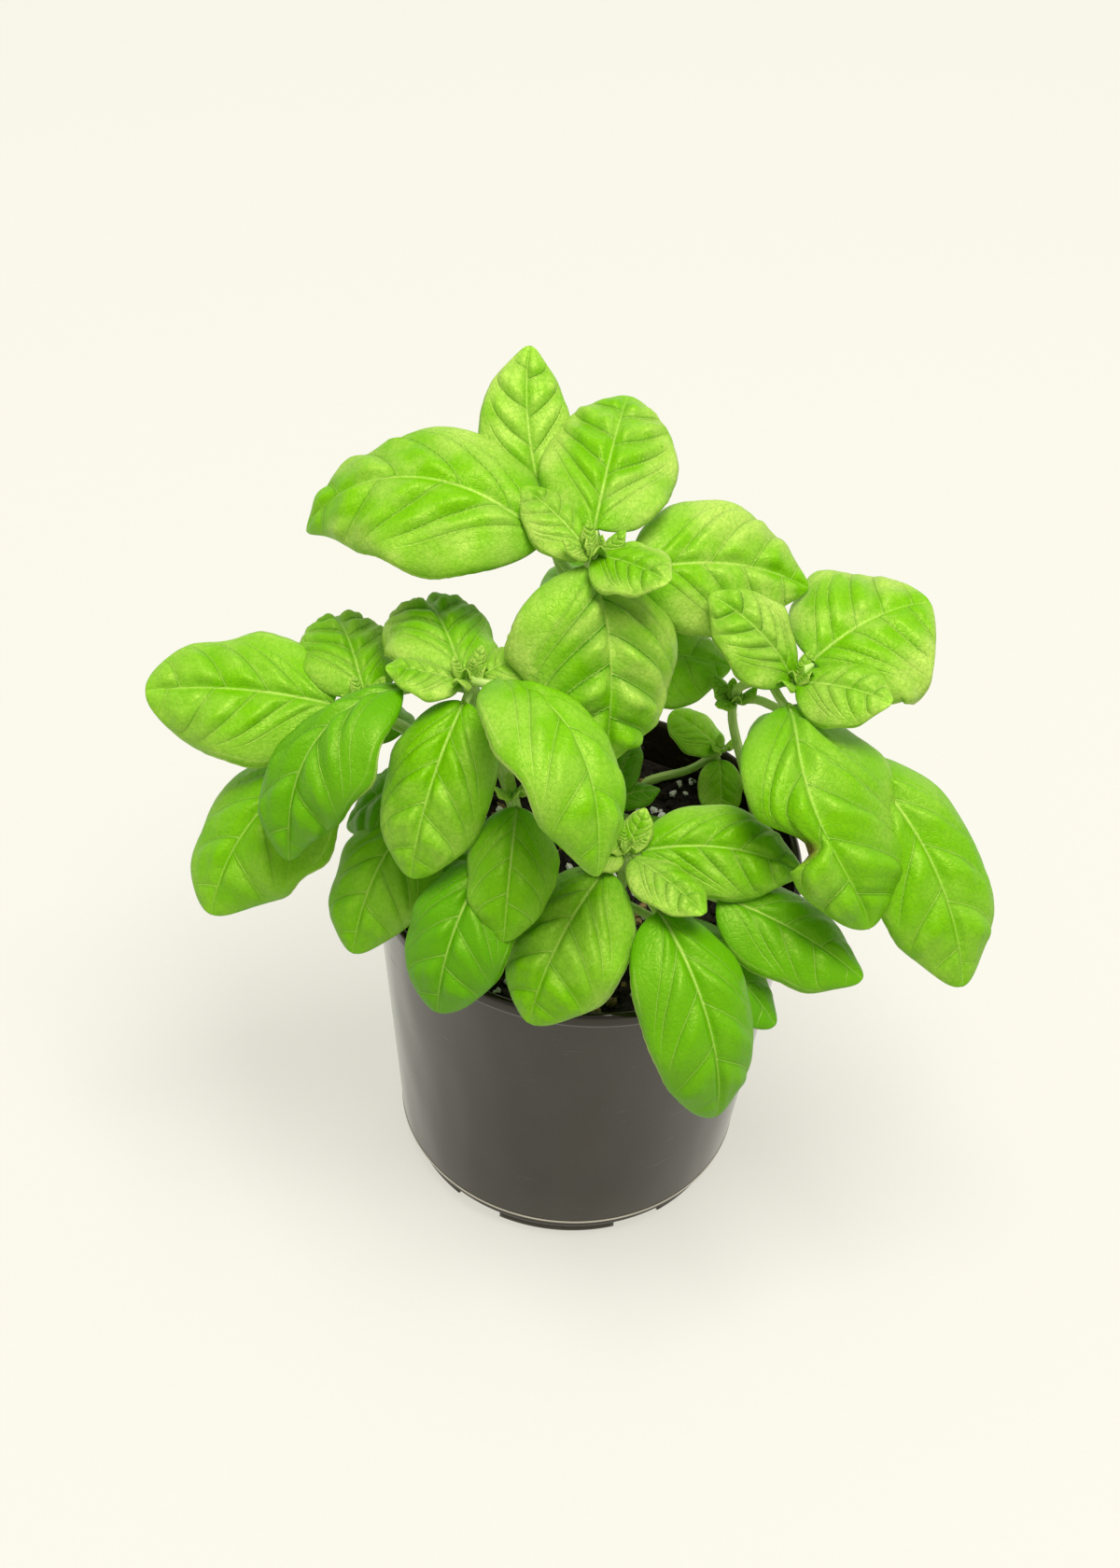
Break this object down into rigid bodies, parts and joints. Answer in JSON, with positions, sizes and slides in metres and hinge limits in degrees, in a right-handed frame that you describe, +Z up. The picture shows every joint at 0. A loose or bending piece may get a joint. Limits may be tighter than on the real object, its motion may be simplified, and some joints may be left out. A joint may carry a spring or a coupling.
{
  "type": "potted basil plant",
  "caption": "Bushy basil plant with domed glossy leaves on branching stems and small seedlings, growing from soil in a round tapered nursery pot with a thin rim and low feet.",
  "frame": {"origin": "the middle of the whole plant's box, at the level the pot's feet stand on; the pot's axis is 5.5 mm to +X of it", "axes": "+Z up, +Y away from the side the picture shows, +X to that view's right"},
  "size_m": [0.2283, 0.1627, 0.2377],
  "materials": {
    "pot": "glossy",
    "soil": "rough, crumbly",
    "stem_tall": "soft sheen, waxy and quilted",
    "stem_left": "soft sheen, waxy and quilted",
    "stem_right": "soft sheen, waxy and quilted",
    "stem_front": "soft sheen, waxy and quilted",
    "stem_front_left": "soft sheen, waxy and quilted",
    "stem_far_left": "soft sheen, waxy and quilted",
    "seedling_back": "soft sheen, waxy",
    "seedling_middle": "soft sheen, waxy"
  },
  "bodies": {
    "root": {"pot": "pot", "soil": "soil", "stem_tall": "stem_tall", "stem_left": "stem_left", "stem_right": "stem_right", "stem_front": "stem_front", "stem_front_left": "stem_front_left", "stem_far_left": "stem_far_left", "seedling_back": "seedling_back", "seedling_middle": "seedling_middle"}
  },
  "joints": []
}
